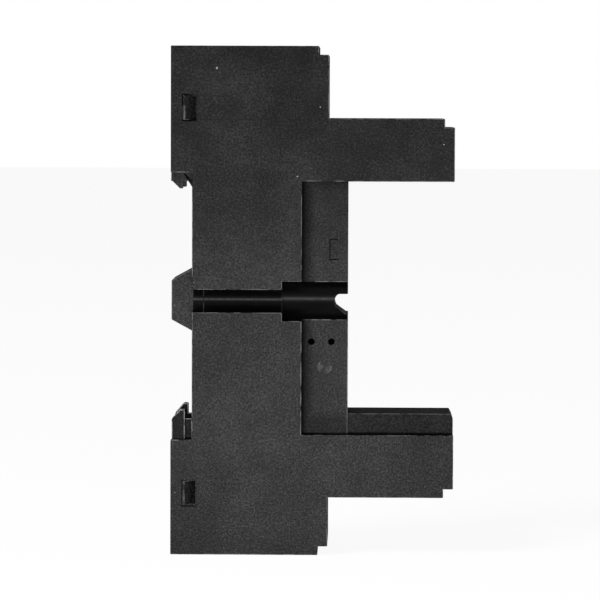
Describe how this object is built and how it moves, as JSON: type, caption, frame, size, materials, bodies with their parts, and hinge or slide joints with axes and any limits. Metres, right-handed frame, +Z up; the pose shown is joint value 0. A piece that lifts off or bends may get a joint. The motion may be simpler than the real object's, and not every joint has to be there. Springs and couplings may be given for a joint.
{
  "type": "relay socket",
  "caption": "Narrow stepped relay socket for a 35 mm mounting rail, with a sprung rail latch, relay pin receptacles and rising-cage screw terminals.",
  "frame": {"origin": "on the plane where the rail sits, at mid-width, on the axis of the two side screw grooves, which is mid-height", "axes": "+X out to the front, away from the rail; +Z up along the socket's height; +Y across its width"},
  "size_m": [0.0418, 0.0154, 0.075],
  "materials": {
    "black_housing": "fine moulded texture",
    "black_cover": "fine moulded texture",
    "latch_plastic": "satin moulded",
    "contact_brass": "stamped, satin",
    "cage_steel": "zinc plated",
    "screw_steel": "zinc plated",
    "spring_steel": "drawn wire"
  },
  "bodies": {
    "socket": {"housing": "black_housing", "base_cover": "black_cover", "latch_spring": "spring_steel", "contact_top_deck_near": "contact_brass", "contact_top_deck_far": "contact_brass", "contact_top_arm_near": "contact_brass", "contact_top_arm_far": "contact_brass", "contact_bottom_arm_near": "contact_brass", "contact_bottom_arm_far": "contact_brass", "contact_bottom_deck_near": "contact_brass", "contact_bottom_deck_far": "contact_brass"},
    "latch": {"rail_latch": "latch_plastic"},
    "screw_top_deck_near": {"screw_top_deck_near": "screw_steel"},
    "cage_top_deck_near": {"cage_top_deck_near": "cage_steel"},
    "screw_top_deck_far": {"screw_top_deck_far": "screw_steel"},
    "cage_top_deck_far": {"cage_top_deck_far": "cage_steel"},
    "screw_top_arm_near": {"screw_top_arm_near": "screw_steel"},
    "cage_top_arm_near": {"cage_top_arm_near": "cage_steel"},
    "screw_top_arm_far": {"screw_top_arm_far": "screw_steel"},
    "cage_top_arm_far": {"cage_top_arm_far": "cage_steel"},
    "screw_bottom_arm_near": {"screw_bottom_arm_near": "screw_steel"},
    "cage_bottom_arm_near": {"cage_bottom_arm_near": "cage_steel"},
    "screw_bottom_arm_far": {"screw_bottom_arm_far": "screw_steel"},
    "cage_bottom_arm_far": {"cage_bottom_arm_far": "cage_steel"},
    "screw_bottom_deck_near": {"screw_bottom_deck_near": "screw_steel"},
    "cage_bottom_deck_near": {"cage_bottom_deck_near": "cage_steel"},
    "screw_bottom_deck_far": {"screw_bottom_deck_far": "screw_steel"},
    "cage_bottom_deck_far": {"cage_bottom_deck_far": "cage_steel"}
  },
  "joints": [
    {"name": "latch_release", "type": "slide", "parent": "socket", "child": "latch", "axis": [0, 0, -1], "range_m": [0, 0.0025], "stiffness_N_per_m": 700, "springref_m": -0.002, "deforming": ["latch_spring"]},
    {"name": "screw_turn_top_deck_near", "type": "hinge", "parent": "socket", "child": "screw_top_deck_near", "pos_m": [0.02005, -0.0036, 0.03207], "axis": [-1, 0, 0], "range_deg": [-90, 1890]},
    {"name": "cage_rise_top_deck_near", "type": "slide", "parent": "socket", "child": "cage_top_deck_near", "axis": [1, 0, 0], "range_m": [0, 0.0025]},
    {"name": "screw_turn_top_deck_far", "type": "hinge", "parent": "socket", "child": "screw_top_deck_far", "pos_m": [0.02005, 0.0036, 0.03207], "axis": [-1, 0, 0], "range_deg": [-90, 1890]},
    {"name": "cage_rise_top_deck_far", "type": "slide", "parent": "socket", "child": "cage_top_deck_far", "axis": [1, 0, 0], "range_m": [0, 0.0025]},
    {"name": "screw_turn_top_arm_near", "type": "hinge", "parent": "socket", "child": "screw_top_arm_near", "pos_m": [0.03855, -0.0036, 0.02245], "axis": [-1, 0, 0], "range_deg": [-90, 1890]},
    {"name": "cage_rise_top_arm_near", "type": "slide", "parent": "socket", "child": "cage_top_arm_near", "axis": [1, 0, 0], "range_m": [0, 0.0025]},
    {"name": "screw_turn_top_arm_far", "type": "hinge", "parent": "socket", "child": "screw_top_arm_far", "pos_m": [0.03855, 0.0036, 0.02245], "axis": [-1, 0, 0], "range_deg": [-90, 1890]},
    {"name": "cage_rise_top_arm_far", "type": "slide", "parent": "socket", "child": "cage_top_arm_far", "axis": [1, 0, 0], "range_m": [0, 0.0025]},
    {"name": "screw_turn_bottom_arm_near", "type": "hinge", "parent": "socket", "child": "screw_bottom_arm_near", "pos_m": [0.03855, -0.0036, -0.0245], "axis": [-1, 0, 0], "range_deg": [-90, 1890]},
    {"name": "cage_rise_bottom_arm_near", "type": "slide", "parent": "socket", "child": "cage_bottom_arm_near", "axis": [1, 0, 0], "range_m": [0, 0.0025]},
    {"name": "screw_turn_bottom_arm_far", "type": "hinge", "parent": "socket", "child": "screw_bottom_arm_far", "pos_m": [0.03855, 0.0036, -0.0245], "axis": [-1, 0, 0], "range_deg": [-90, 1890]},
    {"name": "cage_rise_bottom_arm_far", "type": "slide", "parent": "socket", "child": "cage_bottom_arm_far", "axis": [1, 0, 0], "range_m": [0, 0.0025]},
    {"name": "screw_turn_bottom_deck_near", "type": "hinge", "parent": "socket", "child": "screw_bottom_deck_near", "pos_m": [0.02005, -0.0036, -0.0331], "axis": [-1, 0, 0], "range_deg": [-90, 1890]},
    {"name": "cage_rise_bottom_deck_near", "type": "slide", "parent": "socket", "child": "cage_bottom_deck_near", "axis": [1, 0, 0], "range_m": [0, 0.0025]},
    {"name": "screw_turn_bottom_deck_far", "type": "hinge", "parent": "socket", "child": "screw_bottom_deck_far", "pos_m": [0.02005, 0.0036, -0.0331], "axis": [-1, 0, 0], "range_deg": [-90, 1890]},
    {"name": "cage_rise_bottom_deck_far", "type": "slide", "parent": "socket", "child": "cage_bottom_deck_far", "axis": [1, 0, 0], "range_m": [0, 0.0025]}
  ],
  "couplings": [
    {"joint": "screw_turn_top_deck_near", "follows": "cage_rise_top_deck_near", "rad_per_m": 12566},
    {"joint": "screw_turn_top_deck_far", "follows": "cage_rise_top_deck_far", "rad_per_m": 12566},
    {"joint": "screw_turn_top_arm_near", "follows": "cage_rise_top_arm_near", "rad_per_m": 12566},
    {"joint": "screw_turn_top_arm_far", "follows": "cage_rise_top_arm_far", "rad_per_m": 12566},
    {"joint": "screw_turn_bottom_arm_near", "follows": "cage_rise_bottom_arm_near", "rad_per_m": 12566},
    {"joint": "screw_turn_bottom_arm_far", "follows": "cage_rise_bottom_arm_far", "rad_per_m": 12566},
    {"joint": "screw_turn_bottom_deck_near", "follows": "cage_rise_bottom_deck_near", "rad_per_m": 12566},
    {"joint": "screw_turn_bottom_deck_far", "follows": "cage_rise_bottom_deck_far", "rad_per_m": 12566}
  ]
}
